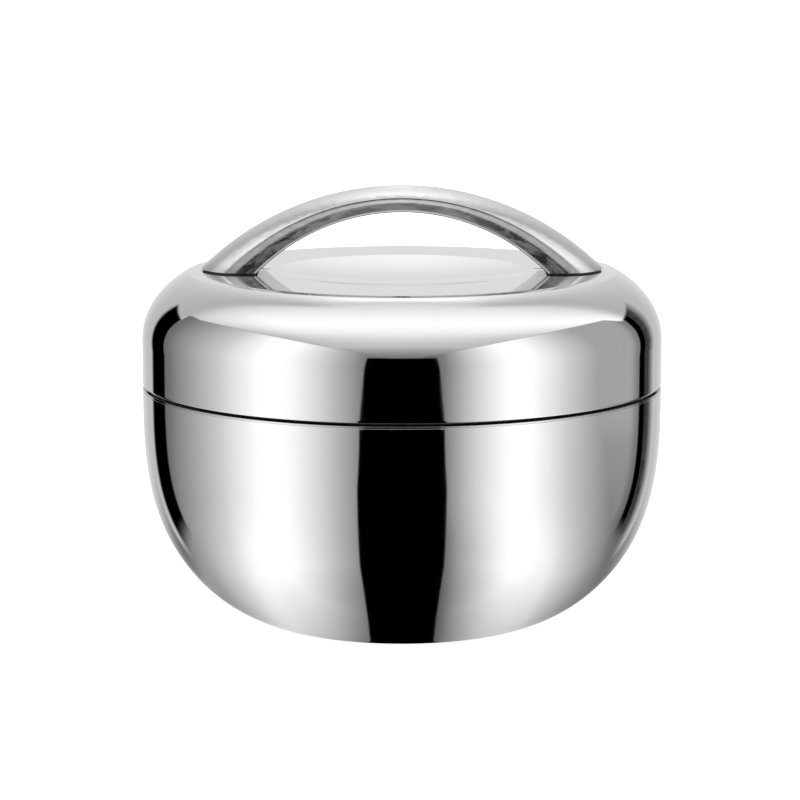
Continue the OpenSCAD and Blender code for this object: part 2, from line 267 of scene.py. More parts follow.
def beside(points, distance):
    """A curve moved sideways by the distance, to the left of its own direction."""
    moved = []
    for i, point in enumerate(points):
        ahead = Vector(points[min(i + 1, len(points) - 1)])
        behind = Vector(points[max(i - 1, 0)])
        along = (ahead - behind).normalized()
        moved.append((point[0] - along.y * distance, point[1] + along.x * distance))
    return moved


def bent(start, corner, end):
    """Points of a smooth bend from one place to another, drawn towards a corner."""
    shares = [step / CORNER_STEPS for step in range(CORNER_STEPS + 1)]
    return [start * (1 - s) ** 2 + corner * 2 * s * (1 - s) + end * s**2 for s in shares]


def bevelled(curve, lid):
    """The lid's shoulder with a faint bevel beside the flat top, both its edges rounded."""
    kept = [Vector(point) for point in curve if point[0] > curve[-1][0] + lid.ridge_reach]
    along = (kept[-1] - kept[-2]).normalized()
    edge = Vector((curve[-1][0] - lid.bevel_w, lid.top_z))
    slope = Vector((math.cos(lid.bevel_tilt), -math.sin(lid.bevel_tilt)))
    corner = kept[-1] + along * ((edge - kept[-1]).cross(slope) / along.cross(slope))
    reach = (corner - kept[-1]).length
    points = kept[:-1] + bent(kept[-1], corner, corner - slope * reach)
    points += bent(edge + slope * reach, edge, edge - Vector((reach, 0)))
    return [tuple(point) for point in points]


def eased(outline):
    """Closed outline in which a point's third value rounds it off, with its long stretches held flat."""
    corners = []
    for i, point in enumerate(outline):
        here = Vector(point[:2])
        if len(point) < 3:
            corners.append(here)
            continue
        back = Vector(outline[i - 1][:2]) - here
        on = Vector(outline[(i + 1) % len(outline)][:2]) - here
        reach = min(point[2] / math.tan(back.angle(on) / 2), back.length * 0.49, on.length * 0.49)
        corners += bent(here + back.normalized() * reach, here, here + on.normalized() * reach)
    held = []
    for i, here in enumerate(corners):
        on = corners[(i + 1) % len(corners)] - here
        held.append(here)
        if on.length > LONG_STRETCH:
            hold = on.normalized() * END_HOLD
            held += [here + hold, here + on - hold]
    return held


def arc_radius(half_chord, rise):
    """Radius of the arc with a given half chord and height."""
    return (half_chord**2 + rise**2) / (2 * rise)


def finish_mesh(name, mesh, smooth=True):
    """Object from a bmesh, with its faces turned outwards."""
    bmesh.ops.recalc_face_normals(mesh, faces=mesh.faces)
    data = bpy.data.meshes.new(name)
    mesh.to_mesh(data)
    mesh.free()
    for face in data.polygons:
        face.use_smooth = smooth
    piece = bpy.data.objects.new(name, data)
    bpy.context.scene.collection.objects.link(piece)
    return piece


def join_loops(mesh, one, other):
    """Faces between two loops of points, either of which may be a single point."""
    count = max(len(one), len(other))
    if count == 1:
        return
    for i in range(count):
        corners = []
        for loop, step in ((one, i), (one, i + 1), (other, i + 1), (other, i)):
            corner = loop[step % len(loop)]
            if corner not in corners:
                corners.append(corner)
        mesh.faces.new(corners)


def skinned(name, sections, endless=False):
    """Piece whose skin runs through a row of outlines, back to the first one or filled at both ends."""
    mesh = bmesh.new()
    loops = [[mesh.verts.new(point) for point in section] for section in sections]
    for one, other in zip(loops, loops[1:] + loops[:1] if endless else loops[1:]):
        join_loops(mesh, one, other)
    if not endless:
        mesh.faces.new(loops[0])
        mesh.faces.new(loops[-1])
    return finish_mesh(name, mesh)


def turned(name, outline, steps=ROUND_STEPS, centre_x=0.0):
    """Piece turned about an upright axis from a closed outline of radius and height."""
    angles = [2 * math.pi * i / steps for i in range(steps)]
    sections = []
    for radius, height in eased(outline):
        if radius < AXIS_REACH:
            sections.append([(centre_x, 0, height)])
        else:
            sections.append([(centre_x + radius * math.cos(a), radius * math.sin(a), height) for a in angles])
    return skinned(name, sections, endless=True)


def cut_away(piece, tool):
    """Cuts a tool's shape out of a piece, and removes the tool."""
    cut = piece.modifiers.new("cut", "BOOLEAN")
    cut.operation = "DIFFERENCE"
    cut.solver = "EXACT"
    cut.object = tool
    with bpy.context.temp_override(object=piece, active_object=piece, selected_objects=[piece]):
        bpy.ops.object.modifier_apply(modifier=cut.name)
    bpy.data.objects.remove(tool)


def drilled(piece, places, radius, bottom_z, top_z):
    """Cuts an upright round hole at each place along X."""
    outline = [(0, bottom_z), (radius, bottom_z), (radius, top_z), (0, top_z)]
    for place in places:
        cut_away(piece, turned("drill", outline, DRILL_STEPS, place))


def sharpen(piece):
    """Marks the sharp edges, so that flat faces shade flat beside them."""
    mesh = bmesh.new()
    mesh.from_mesh(piece.data)
    for edge in mesh.edges:
        if len(edge.link_faces) == 2 and edge.calc_face_angle(0) > SHARP_TURN:
            edge.smooth = False
    mesh.to_mesh(piece.data)
    mesh.free()


def mouth_radius(bowl):
    """Radius of the bowl's mouth, inside both sheets."""
    return bowl.body_r - bowl.shell_t - bowl.wall_space - bowl.liner_t


def screw_place(handle):
    """Distance of each screw from the middle."""
    return handle.tip_x - handle.foot_l + handle.screw_inset


def place_piece(piece, body, material, node):
    """Gives a piece its body, finish and material, and hides the CAD node that it stands for."""
    piece.data.materials.clear()
    piece.data.materials.append(material)
    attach(piece, body)
    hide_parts(node)


# Shader wiring


def shade(base, share=1.0):
    """A colour with its alpha, made darker or lighter by a share."""
    return (*[part * share for part in base], 1)


def by_node(operation, reverse=False):
    """Method that adds the node for an operation on this value and another."""

    def method(self, other=0.0):
        first, second = (other, self) if reverse else (self, other)
        return self.wiring.math(operation, first, second)

    return method


class Value:
    """One output in a node tree. Working with it adds the nodes that do the work."""

    __add__ = by_node("ADD")
    __sub__ = by_node("SUBTRACT")
    __rsub__ = by_node("SUBTRACT", reverse=True)
    __mul__ = by_node("MULTIPLY")
    __truediv__ = by_node("DIVIDE")
    __rtruediv__ = by_node("DIVIDE", reverse=True)
    __pow__ = by_node("POWER")
    __abs__ = by_node("ABSOLUTE")
    at_least = by_node("MAXIMUM")
    at_most = by_node("MINIMUM")
    above = by_node("GREATER_THAN")
    below = by_node("LESS_THAN")

    def __init__(self, wiring, socket):
        self.wiring = wiring
        self.socket = socket

    def smooth(self, start, end, at_start=0.0, at_end=1.0, kind="SMOOTHSTEP"):
        """Runs smoothly from one value to another as this goes from start to end."""
        inputs = {"Value": self, "From Min": start, "From Max": end, "To Min": at_start, "To Max": at_end}
        return self.wiring.output("ShaderNodeMapRange", inputs, interpolation_type=kind)

    def straight(self, start, end, at_start=0.0, at_end=1.0):
        """Runs evenly from one value to another as this goes from start to end."""
        return self.smooth(start, end, at_start, at_end, "LINEAR")

    def blend(self, first, second):
        """Mix of two values, with this as the share of the second."""
        return self.wiring.output("ShaderNodeMix", {0: self, 2: first, 3: second}, data_type="FLOAT")

    def blend_colour(self, first, second):
        """Mix of two colours, with this as the share of the second."""
        return self.wiring.output("ShaderNodeMix", {0: self, 6: first, 7: second}, 2, data_type="RGBA")

    def tint(self, base, share):
        """A base colour that goes to a share of itself as this goes to 1."""
        return self.blend_colour(shade(base), shade(base, share))


class Wiring:
    """Adds nodes to one node tree and links them."""

    def __init__(self, tree):
        self.tree = tree

    def node(self, kind, inputs=(), **values):
        made = self.tree.nodes.new(kind)
        for name, value in values.items():
            setattr(made, name, value)
        for key, value in dict(inputs).items():
            self.feed(made.inputs[key], value)
        return made

    def feed(self, socket, value):
        if isinstance(value, Value):
            self.tree.links.new(value.socket, socket)
        else:
            socket.default_value = value

    def output(self, kind, inputs=(), socket=0, **values):
        """Adds a node and gives one of its outputs."""
        return Value(self, self.node(kind, inputs, **values).outputs[socket])

    def named_outputs(self, node):
        return {socket.name: Value(self, socket) for socket in node.outputs}

    def math(self, operation, first, second=0.0):
        return self.output("ShaderNodeMath", {0: first, 1: second}, operation=operation)

    def noise(self, vector, scale, detail=3.0, roughness=0.5):
        inputs = {"Vector": vector, "Scale": scale, "Detail": detail, "Roughness": roughness}
        return self.output("ShaderNodeTexNoise", inputs, "Fac")

    def cells(self, vector, scale):
        """Distance from the middle of round cells."""
        return self.output("ShaderNodeTexVoronoi", {"Vector": vector, "Scale": scale}, "Distance")

    def coordinates(self, kind="Object"):
        return self.output("ShaderNodeTexCoord", socket=kind)

    def split(self, vector):
        """The three parts of a vector."""
        return self.named_outputs(self.node("ShaderNodeSeparateXYZ", {0: vector})).values()

    def joined(self, x, y, z):
        return self.output("ShaderNodeCombineXYZ", {0: x, 1: y, 2: z})

    def group(self, build, **inputs):
        """Places a shared group, built when it is first asked for, with this material's own values."""
        name = build.__name__.replace("_", " ")
        if name not in bpy.data.node_groups:
            build(name)
        return self.named_outputs(self.node("ShaderNodeGroup", inputs, node_tree=bpy.data.node_groups[name]))


def new_group(name, inputs, outputs):
    """Empty shader node group with float sockets: its wiring, and what it is given, by name."""
    tree = bpy.data.node_groups.new(name, "ShaderNodeTree")
    for socket, default in inputs.items():
        made = tree.interface.new_socket(socket, in_out="INPUT", socket_type="NodeSocketFloat")
        made.default_value = default
    for socket in outputs:
        tree.interface.new_socket(socket, in_out="OUTPUT", socket_type="NodeSocketFloat")
    w = Wiring(tree)
    return w, w.named_outputs(w.node("NodeGroupInput"))


def micro_scratches(name):
    """Group: fine straight hairlines in three directions. Height for a bump, Mask for roughness."""
    w, given = new_group(name, {"Density": 900.0, "Amount": 0.5}, ["Height", "Mask"])
    place = w.coordinates()
    lines = []
    for turn in ((0.2, 0.1, 0.4), (1.1, 0.5, 1.9), (0.6, 1.3, 2.8)):
        inputs = {"Vector": place, "Rotation": turn, "Scale": (0.02, 1.0, 1.0)}
        stretched = w.output("ShaderNodeMapping", inputs, vector_type="POINT")
        lines.append(w.noise(stretched, given["Density"], 2.0, 0.6).smooth(0.62, 0.74))
    where = w.noise(place, 60.0, 2.0).smooth(0.4, 0.65)
    mask = lines[0].at_least(lines[1]).at_least(lines[2]) * where * given["Amount"]
    w.node("NodeGroupOutput", {"Mask": mask, "Height": mask * -1.0})


def handling_smudges(name):
    """Group: soft patches left by hands and cloths, as a mask."""
    w, given = new_group(name, {"Size": 45.0, "Cover": 0.5}, ["Mask"])
    place = w.coordinates()
    broad = w.noise(place, given["Size"], 4.0, 0.55)
    fine = w.noise(place, given["Size"] * 9.0, 3.0, 0.6)
    edge = 1.0 - given["Cover"]
    mask = broad.smooth(edge - 0.12, edge + 0.18) * fine.smooth(0.3, 0.7, 0.5, 1.0)
    w.node("NodeGroupOutput", {"Mask": mask})


def spun_rings(name):
    """Group: fine circular tool marks about the upright axis. Height for a bump, Mask for tone."""
    w, given = new_group(name, {"Fineness": 2600.0}, ["Height", "Mask", "Radius"])
    x, y, z = w.split(w.coordinates())
    radius = w.math("SQRT", x * x + y * y)
    rings = w.joined(radius, w.math("ARCTAN2", y, x) * 0.002, z)
    fine = w.noise(rings, given["Fineness"], 3.0, 0.65)
    broad = w.noise(rings, given["Fineness"] * 0.12, 2.0, 0.5)
    w.node("NodeGroupOutput", {"Height": fine * 0.7 + broad * 0.3, "Mask": fine, "Radius": radius})


def contact_wear(name):
    """Group: wear that grows towards one height, as on a rim or a base that is set down."""
    w, given = new_group(name, {"Height": 0.0, "Reach": 0.002}, ["Mask"])
    place = w.coordinates()
    _, _, z = w.split(place)
    near = 1.0 - (abs(z - given["Height"]) / given["Reach"] + 0.5).at_most(1.0)
    broken = w.noise(place, 700.0, 4.0, 0.6).smooth(0.35, 0.7)
    w.node("NodeGroupOutput", {"Mask": near * broken})


def arch_streaks(name):
    """Group: polishing marks and soft patches drawn out along the handle's arch."""
    w, given = new_group(name, {"Centre": 0.0}, ["Streaks", "Patches"])
    x, y, z = w.split(w.coordinates())
    rise = z - given["Centre"]
    radius = w.math("SQRT", x * x + rise * rise)
    along = w.math("ARCTAN2", x, rise) * 0.06
    streaks = w.noise(w.joined(along * 0.12, y, radius), 1300.0, 3.0, 0.6)
    patches = w.noise(w.joined(along * 0.38, y, radius), 480.0, 3.0, 0.6)
    w.node("NodeGroupOutput", {"Streaks": streaks, "Patches": patches})


class Surface(Wiring):
    """A new material with its shader."""

    def __init__(self, name, metallic=0.0):
        self.material = bpy.data.materials.new(name)
        self.material.use_nodes = True
        super().__init__(self.material.node_tree)
        self.shader = self.tree.nodes["Principled BSDF"]
        self.set("Metallic", metallic)

    def set(self, socket, value):
        self.feed(self.shader.inputs[socket], value)

    def finished(self, tone, rough, height=None, depth=0.0, strength=1.0):
        """The material with its colour and roughness, and with a bump of a real depth in metres."""
        self.set("Base Color", tone)
        self.set("Roughness", rough)
        if height:
            bump = {"Height": height, "Distance": depth, "Strength": strength}
            self.set("Normal", self.output("ShaderNodeBump", bump))
        return self.material


def mirror_steel(name, base, worn_z):
    """Mirror-polished sheet: clear reflections, faint smudges, hairlines, wear towards one height."""
    w = Surface(name, metallic=1.0)
    scratches = w.group(micro_scratches, Density=1100.0, Amount=0.6)
    smudges = w.group(handling_smudges, Size=38.0, Cover=0.45)["Mask"]
    wear = w.group(contact_wear, Height=worn_z, Reach=1.2 * MM)["Mask"]
    marks = (scratches["Mask"] * 0.6).at_least(wear)
    rough = (smudges * 0.16 + marks * 0.6).blend(0.035, 0.15)
    return w.finished((smudges * 0.5).tint(base, 0.93), rough, scratches["Height"], 0.0006 * MM, 0.6)


def satin_steel(name, base, fineness, polished_r=1.0):
    """Spun inner sheet: fine rings about the axis, with soft patches, polished beyond a radius."""
    w = Surface(name, metallic=1.0)
    rings = w.group(spun_rings, Fineness=fineness)
    smudges = w.group(handling_smudges, Size=30.0, Cover=0.5)["Mask"]
    scratches = w.group(micro_scratches, Density=700.0, Amount=0.8)
    satin = rings["Radius"].smooth(polished_r, polished_r + 0.3 * MM, 1.0, 0.12)
    rough = (rings["Mask"] * 0.6 + smudges * 0.4).blend(0.2, 0.38) * satin
    height = (rings["Height"] + scratches["Height"] * 0.5) * satin
    return w.finished(rings["Mask"].tint(base, 0.86), rough, height, 0.012 * MM)


def cast_steel(name, base, centre_z, foot_z):
    """Polished casting: soft mottle on the crown, streaky sides, dull where held, with painted shade by its
    feet.
    """
    w = Surface(name, metallic=1.0)
    place = w.coordinates()
    x, _, z = w.split(place)
    _, across, _ = w.split(w.coordinates("Normal"))
    side = abs(across).smooth(0.975, 0.988)
    held = abs(x).smooth(12 * MM, 34 * MM, 1.0, 0.0)
    # Painted shade: the colour darkens over the lowest 2.4 mm by the feet, and on the sides up to 10 mm above
    # the feet
    corner = z.smooth(foot_z, foot_z + 2.4 * MM, 0.4, 0.0)
    painted_side_shade = z.smooth(foot_z + 2 * MM, foot_z + 10 * MM, 0.55, 0.0) * side
    drawn = w.group(arch_streaks, Centre=centre_z)
    scratches = w.group(micro_scratches, Density=900.0, Amount=1.0)
    smudges = w.group(handling_smudges, Size=70.0, Cover=0.55)["Mask"]
    waves = w.noise(place, 330.0, 2.0, 0.5)
    grain = w.noise(place, 1500.0, 4.0, 0.6)
    pits = w.noise(place, 3200.0, 2.0, 0.5).smooth(0.7, 0.8)
    tone = waves.smooth(0.35, 0.65) * 0.15 + pits * 0.4 + drawn["Streaks"] * 0.35
    # Painted shade: the mottled tone goes towards 40% of the base colour where either shade mask rises
    tone_with_painted_shade = corner.at_least(painted_side_shade).blend_colour(tone.tint(base, 0.84), shade(base, 0.4))
    patches = drawn["Patches"].smooth(0.4, 0.6)
    dull = held.blend(patches.blend(0.22, 0.38), patches.blend(0.36, 0.46))
    polished = (smudges * 0.5 + grain * 0.5).blend(0.08, 0.2)
    height = waves + grain * 0.06 + drawn["Streaks"] * side.blend(0.06, 0.24)
    height += scratches["Height"] * 0.02
    height -= pits * 0.03
    return w.finished(tone_with_painted_shade, side.blend(polished, dull), height, 0.1 * MM)


def plain_steel(name, base):
    """Rolled and cut steel of plates, washers and screws."""
    w = Surface(name, metallic=1.0)
    grain = w.noise(w.coordinates(), 1800.0, 4.0, 0.6)
    scratches = w.group(micro_scratches, Density=1200.0, Amount=1.0)
    smudges = w.group(handling_smudges, Size=150.0, Cover=0.5)["Mask"]
    rough = (grain * 0.6 + smudges * 0.4).blend(0.24, 0.45)
    return w.finished(smudges.tint(base, 0.75), rough, grain + scratches["Height"], 0.006 * MM)


def moulded(name, base, smoothest, roughest, depth, share=0.9):
    """Moulded plastic or rubber: fine skin texture with faint dust and rubbed patches."""
    w = Surface(name)
    place = w.coordinates()
    skin = w.noise(place, 2600.0, 3.0, 0.55)
    flow = w.noise(place, 90.0, 2.0, 0.5)
    smudges = w.group(handling_smudges, Size=60.0, Cover=0.5)["Mask"]
    tone = (flow * 0.5 + smudges * 0.5).tint(base, share)
    return w.finished(tone, smudges.blend(smoothest, roughest), skin + flow * 0.5, depth)


def cell_foam(name, base):
    """Closed-cell foam: small round cells, with darker hollows."""
    w = Surface(name)
    cells = w.cells(w.coordinates(), 1300.0)
    broad = w.noise(w.coordinates(), 80.0, 3.0)
    tone = (cells * 0.6 + broad * 0.4).tint(base, 0.72)
    return w.finished(tone, broad.blend(0.75, 0.95), cells, 0.2 * MM)


def solder_glass(name, base):
    """Fused glass bead: dark, glossy, with small bubbles."""
    w = Surface(name)
    bubbles = w.noise(w.coordinates(), 2400.0, 2.0).smooth(0.62, 0.72)
    flow = w.noise(w.coordinates(), 500.0, 3.0)
    return w.finished(flow.tint(base, 1.8), bubbles.blend(0.08, 0.4), flow - bubbles, 0.03 * MM)


def pressed_powder(name, base):
    """Pressed metal powder: coarse, matte grains."""
    w = Surface(name, metallic=0.8)
    grains = w.cells(w.coordinates(), 3500.0)
    broad = w.noise(w.coordinates(), 400.0, 3.0)
    return w.finished(grains.tint(base, 1.6), broad.blend(0.5, 0.8), grains, 0.06 * MM)


# Pieces


class BowlShellOperator(bpy.types.Operator):
    """Deep-drawn mirror-polished outer sheet of the bowl"""

    bl_idname = "bowl.outer_shell"
    bl_label = "Bowl outer shell"

    def execute(self, context):
        bowl, _, _, finishes, _ = settings()
        rim_z = bowl.rim_z - bowl.liner_t
        recess_r = bowl.foot_r - bowl.ring_w
        floor_z = bowl.recess_h + bowl.shell_t
        outside = rounded((bowl.foot_r, 0), (bowl.body_r, rim_z), bowl, upright=False)
        inside = beside(outside, bowl.shell_t)
        half = bowl.shell_t / 2
        outline = [(recess_r, 0, half), *outside[:-1], (*outside[-1], 0.06 * MM)]
        outline += [(bowl.body_r - bowl.shell_t, rim_z, 0.12 * MM), *inside[-2:0:-1]]
        outline += [
            (recess_r + bowl.shell_t, bowl.shell_t, half),
            (recess_r + bowl.shell_t, floor_z, half),
            (bowl.evac_r, floor_z, 0.1 * MM),
            (bowl.evac_r, bowl.recess_h, 0.1 * MM),
            (recess_r, bowl.recess_h, half),
        ]
        piece = turned("bowl_shell", outline)
        finish = mirror_steel("mirror steel, bowl", finishes.mirror, 0.0)
        place_piece(piece, "bowl", finish, "bowl_outer_shell")
        return {"FINISHED"}


class BowlLinerOperator(bpy.types.Operator):
    """Inner sheet that holds the food, with the flat lip of the rim"""

    bl_idname = "bowl.inner_liner"
    bl_label = "Bowl inner liner"

    def execute(self, context):
        bowl, _, _, finishes, _ = settings()
        floor_z = bowl.recess_h + bowl.shell_t + bowl.floor_space + bowl.liner_t
        mouth_r = mouth_radius(bowl)
        lip_r = bowl.body_r - bowl.lip_inset
        lip_z = bowl.rim_z - bowl.liner_t
        foot_r = bowl.foot_r - bowl.wall_space
        inside = rounded((foot_r, floor_z), (mouth_r, bowl.rim_z), bowl, upright=False)
        outside = beside(inside, -bowl.liner_t)
        outline = [(0, floor_z), *inside[:-1], (mouth_r, bowl.rim_z, 0.35 * MM)]
        outline += [(lip_r, bowl.rim_z, 0.08 * MM), (lip_r, lip_z, 0.05 * MM)]
        outline += [(mouth_r + bowl.liner_t, lip_z), *outside[-2::-1], (0, floor_z - bowl.liner_t)]
        piece = turned("bowl_liner", outline)
        finish = satin_steel("satin steel, liner", finishes.satin, 2600.0, mouth_r + bowl.liner_t)
        place_piece(piece, "bowl", finish, "bowl_inner_liner")
        return {"FINISHED"}


class BaseOperator(bpy.types.Operator):
    """Cover pan in the underside, with the glass bead and the getter inside the double wall"""

    bl_idname = "bowl.base_pieces"
    bl_label = "Base pieces"

    def execute(self, context):
        bowl, _, _, finishes, _ = settings()
        sheet = bowl.shell_t
        pan_r, low_z, high_z = extent("bowl_base_cover")
        pan = turned("base_cover", [
            (0, low_z), (pan_r, low_z, 0.5 * MM), (pan_r, high_z, sheet / 3),
            (pan_r - sheet, high_z, sheet / 3), (pan_r - sheet, low_z + sheet, 0.3 * MM), (0, low_z + sheet),
        ])
        finish = satin_steel("satin steel, base", finishes.satin, 1500.0)
        place_piece(pan, "bowl", finish, "bowl_base_cover")

        bead_r, low_z, high_z = extent("bowl_vacuum_seal")
        stem_r = bowl.evac_r - 0.1 * MM
        bead = turned("glass_bead", [
            (0, low_z), (bead_r * 0.8, low_z, 0.8 * MM), (bead_r, bowl.recess_h, 0.15 * MM),
            (stem_r, bowl.recess_h), (stem_r, high_z, 0.3 * MM), (0, high_z),
        ], INNER_ROUND_STEPS)
        finish = solder_glass("solder glass", finishes.glass)
        place_piece(bead, "bowl", finish, "bowl_vacuum_seal")

        pill_r = high("bowl_getter").y
        _, low_z, high_z = extent("bowl_getter")
        hollow_z = high_z - 0.15 * MM
        pill = turned("getter_pellet", [
            (0, low_z), (pill_r, low_z, 0.2 * MM), (pill_r, high_z, 0.25 * MM),
            (pill_r * 0.7, high_z, 0.1 * MM), (pill_r * 0.64, hollow_z, 0.1 * MM), (0, hollow_z),
        ], INNER_ROUND_STEPS, middle_x("bowl_getter"))
        finish = pressed_powder("pressed powder", finishes.getter)
        place_piece(pill, "bowl", finish, "bowl_getter")
        return {"FINISHED"}


class LidShellOperator(bpy.types.Operator):
    """Mirror-polished outer sheet of the lid: hem, side, shoulder, flat top and shallow dish"""

    bl_idname = "bowl.lid_shell"
    bl_label = "Lid outer shell"

    def execute(self, context):
        bowl, lid, handle, finishes, _ = settings()
        sheet = bowl.shell_t
        side_r = bowl.body_r
        hem_r = side_r - lid.hem_w
        ridge = (side_r - lid.shoulder_w, lid.top_z)
        shoulder = bevelled(rounded((side_r, lid.lower_z + lid.side_h), ridge, lid, upright=True), lid)
        dish = dish_curve(lid.dish_r, lid.dish_depth, lid.top_z)
        outline = [(hem_r, lid.lower_z, sheet / 2), (side_r, lid.lower_z, lid.hem_round), *shoulder]
        outline += [(*dish[0], 0.25 * MM), *dish[1:]]
        outline += dish_curve(lid.dish_r, lid.dish_depth, lid.top_z - sheet)[::-1]
        outline += beside(shoulder, sheet)[:0:-1]
        outline += [(side_r - sheet, lid.lower_z + sheet, sheet / 2), (hem_r, lid.lower_z + sheet, sheet / 2)]
        piece = turned("lid_shell", outline)
        screw_x = screw_place(handle)
        hole_r = handle.thread_r + 0.2 * MM
        drilled(piece, (-screw_x, screw_x), hole_r, lid.top_z - 3 * sheet, lid.top_z + sheet)
        finish = mirror_steel("mirror steel, lid", finishes.mirror, lid.lower_z)
        place_piece(piece, "lid", finish, "lid_outer_shell")
        return {"FINISHED"}


class LidInsideOperator(bpy.types.Operator):
    """Inner sheet of the lid and the foam disc above it"""

    bl_idname = "bowl.lid_inside"
    bl_label = "Lid inside"

    def execute(self, context):
        bowl, lid, _, finishes, _ = settings()
        flange_r, low_z, high_z = extent("lid_inner_liner")
        sheet = bowl.liner_t
        neck_r = bowl.body_r - lid.neck_inset
        neck_z = lid.lower_z + lid.neck_h
        roof_r = bowl.body_r - lid.shoulder_w - lid.roof_inset
        roof_z = high_z - sheet
        flange_z = low_z + sheet
        shoulder = rounded((neck_r, neck_z), (roof_r, roof_z), lid, upright=True)
        outline = [(neck_r, low_z, 0.3 * MM), *shoulder]
        outline += [(0, roof_z), (0, roof_z + sheet), (roof_r, roof_z + sheet)]
        outline += beside(shoulder, -sheet)[-2:0:-1]
        outline += [
            (neck_r + sheet, neck_z), (neck_r + sheet, flange_z, 0.3 * MM),
            (flange_r, flange_z, sheet / 3), (flange_r, low_z, sheet / 3),
        ]
        piece = turned("lid_liner", outline)
        finish = satin_steel("satin steel, lid", finishes.satin, 2200.0)
        place_piece(piece, "lid", finish, "lid_inner_liner")

        disc_r, low_z, high_z = extent("lid_foam_disc")
        outline = [(0, low_z), (disc_r, low_z, 0.8 * MM), (disc_r, high_z, 0.8 * MM)]
        outline += dish_curve(lid.dish_r, lid.dish_depth, high_z)
        disc = turned("foam_disc", outline, INNER_ROUND_STEPS)
        place_piece(disc, "lid", cell_foam("cell foam", finishes.foam), "lid_foam_disc")
        return {"FINISHED"}


class SealOperator(bpy.types.Operator):
    """Plastic collar that plugs into the mouth, and the soft seal ring round it"""

    bl_idname = "bowl.seal"
    bl_label = "Collar and seal"

    def execute(self, context):
        bowl, lid, _, finishes, _ = settings()
        flange_r, low_z, top_z = extent("lid_collar")
        wing_r, band_z, _ = extent("lid_seal_ring")
        mouth_r = mouth_radius(bowl)
        rib_r = mouth_r - lid.rib_clear
        band_r = rib_r - lid.rib_h
        band_in_r = band_r - lid.seal_t
        collar_r = band_in_r - lid.collar_clear
        inner_r = collar_r - lid.collar_t
        flange_z = lid.lower_z + bowl.shell_t
        soft = 0.3 * MM
        collar = turned("collar", [
            (inner_r, low_z, 0.6 * MM), (collar_r + lid.bead_w, low_z, 0.4 * MM),
            (collar_r + lid.bead_w, low_z + lid.bead_h, soft), (collar_r, low_z + lid.bead_h),
            (collar_r, lid.lower_z), (flange_r, lid.lower_z, 0.15 * MM), (flange_r, flange_z, 0.15 * MM),
            (collar_r, flange_z, soft), (collar_r, top_z, soft), (inner_r, top_z, 0.6 * MM),
        ])
        finish = moulded("moulded plastic", finishes.plastic, 0.32, 0.5, 0.01 * MM)
        place_piece(collar, "lid", finish, "lid_collar")

        wing_z = lid.lower_z - 0.6 * MM
        outline = [(band_in_r, band_z, 0.2 * MM), (band_r, band_z, soft)]
        for share in (1, 2):
            middle = band_z + share * (wing_z - band_z) / 3
            outline += [
                (band_r, middle - lid.rib_w / 2, 0.15 * MM), (rib_r, middle, 0.35 * MM),
                (band_r, middle + lid.rib_w / 2, 0.15 * MM),
            ]
        outline += [
            (band_r, wing_z, 0.25 * MM), (wing_r, wing_z, 0.2 * MM), (wing_r, lid.lower_z, 0.2 * MM),
            (band_in_r, lid.lower_z, 0.2 * MM),
        ]
        seal = turned("seal_ring", outline)
        finish = moulded("seal rubber", finishes.seal, 0.5, 0.7, 0.008 * MM, 1.6)
        place_piece(seal, "lid", finish, "lid_seal_ring")
        return {"FINISHED"}


